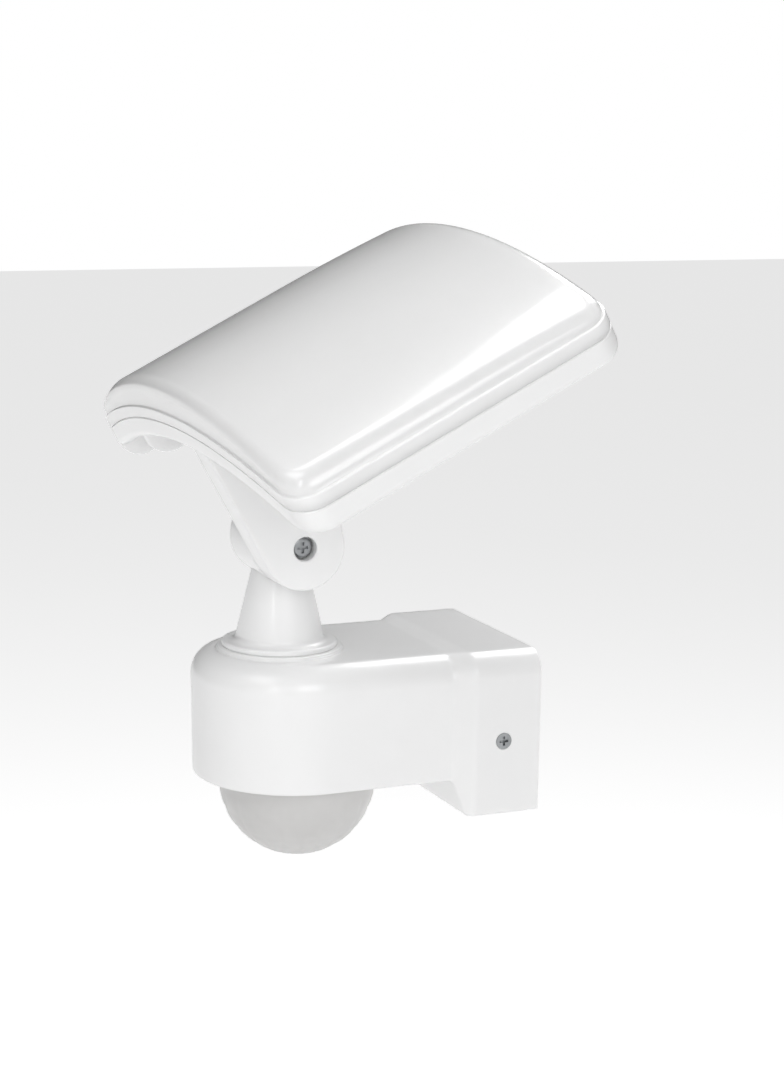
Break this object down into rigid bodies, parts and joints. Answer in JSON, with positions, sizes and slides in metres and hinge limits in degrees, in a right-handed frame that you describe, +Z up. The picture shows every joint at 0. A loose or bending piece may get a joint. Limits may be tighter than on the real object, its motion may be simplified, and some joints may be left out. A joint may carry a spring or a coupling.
{
  "type": "wall floodlight with motion detector",
  "caption": "Wall-mounted outdoor light: arched opal head on a swivel and tilt stem, over a short arm with a hanging motion-detector lens.",
  "frame": {"origin": "middle of the two wall-screw holes, on the wall plane", "axes": "+Y into the wall, -Y away from it, +Z up, X along the wall"},
  "size_m": [0.19, 0.1236, 0.2163],
  "materials": {
    "white_shell": "moulded satin gloss",
    "opal_diffuser": "moulded opal gloss",
    "detector_lens": "milky moulded polyethylene",
    "inner_plastic": "moulded",
    "foam_rubber": "closed-cell foam",
    "grey_rubber": "moulded",
    "terminal_plastic": "moulded",
    "zinc_steel": "zinc plated",
    "fibre": "pressed fibre",
    "lead_sheath": "extruded sheath",
    "circuit_board": "solder mask",
    "ferrite": "sintered",
    "winding_tape": "polyester tape",
    "capacitor_sleeve": "shrink sleeve",
    "relay_case": "moulded",
    "film_case": "moulded",
    "nickel_can": "nickel plated",
    "filter_window": "polished filter",
    "dial_plastic": "moulded",
    "spreader_aluminium": "rolled sheet",
    "led_board": "white solder mask",
    "led_package": "phosphor"
  },
  "bodies": {
    "bracket": {"bottom_cover": "white_shell", "cable_grommet": "grey_rubber", "capacitors": "capacitor_sleeve", "cover_screws": "zinc_steel", "driver_board": "circuit_board", "driver_screws": "zinc_steel", "film_capacitor": "film_case", "fuse": "ferrite", "housing": "white_shell", "housing_screws": "zinc_steel", "lens_dome": "detector_lens", "lens_retainer": "inner_plastic", "lens_ring": "white_shell", "light_sensor": "film_case", "pir_sensor": "nickel_can", "pir_window": "filter_window", "relay": "relay_case", "retainer_screws": "zinc_steel", "sensor_board": "circuit_board", "sensor_leads": "zinc_steel", "supply_leads": "lead_sheath", "terminal_block": "terminal_plastic", "terminal_screws": "zinc_steel", "transformer_core": "ferrite", "transformer_winding": "winding_tape", "trimmer_board": "circuit_board", "trimmers": "relay_case", "wall_gasket": "foam_rubber", "wall_plate": "inner_plastic"},
    "stem_body": {"stem": "white_shell", "stem_nut": "inner_plastic", "stem_spring": "zinc_steel", "stem_seal": "grey_rubber", "stem_lead": "lead_sheath", "pivot_screw": "zinc_steel", "pivot_washer": "zinc_steel", "pivot_nut": "zinc_steel", "friction_washer": "fibre"},
    "head": {"head_shell": "white_shell", "diffuser": "opal_diffuser", "diffuser_seal": "grey_rubber", "diffuser_screws": "zinc_steel", "heat_spreader": "spreader_aluminium", "led_board_far": "led_board", "led_board_middle": "led_board", "led_board_near": "led_board", "leds": "led_package", "board_screws": "zinc_steel", "head_lead": "lead_sheath"},
    "time_dial": {"time_dial": "dial_plastic"},
    "lux_dial": {"lux_dial": "dial_plastic"}
  },
  "joints": [
    {"name": "swivel", "type": "hinge", "parent": "bracket", "child": "stem_body", "pos_m": [0, -0.0802, 0.0282], "axis": [0, 0, 1], "range_deg": [-60, 60]},
    {"name": "tilt", "type": "hinge", "parent": "stem_body", "child": "head", "pos_m": [0.0162, -0.0802, 0.0651], "axis": [1, 0, 0], "range_deg": [0, 60]},
    {"name": "time_turn", "type": "hinge", "parent": "bracket", "child": "time_dial", "pos_m": [-0.0085, -0.0389, -0.0161], "axis": [0, 0, -1], "range_deg": [-135, 135]},
    {"name": "lux_turn", "type": "hinge", "parent": "bracket", "child": "lux_dial", "pos_m": [0.0085, -0.0389, -0.0161], "axis": [0, 0, -1], "range_deg": [-135, 135]}
  ]
}
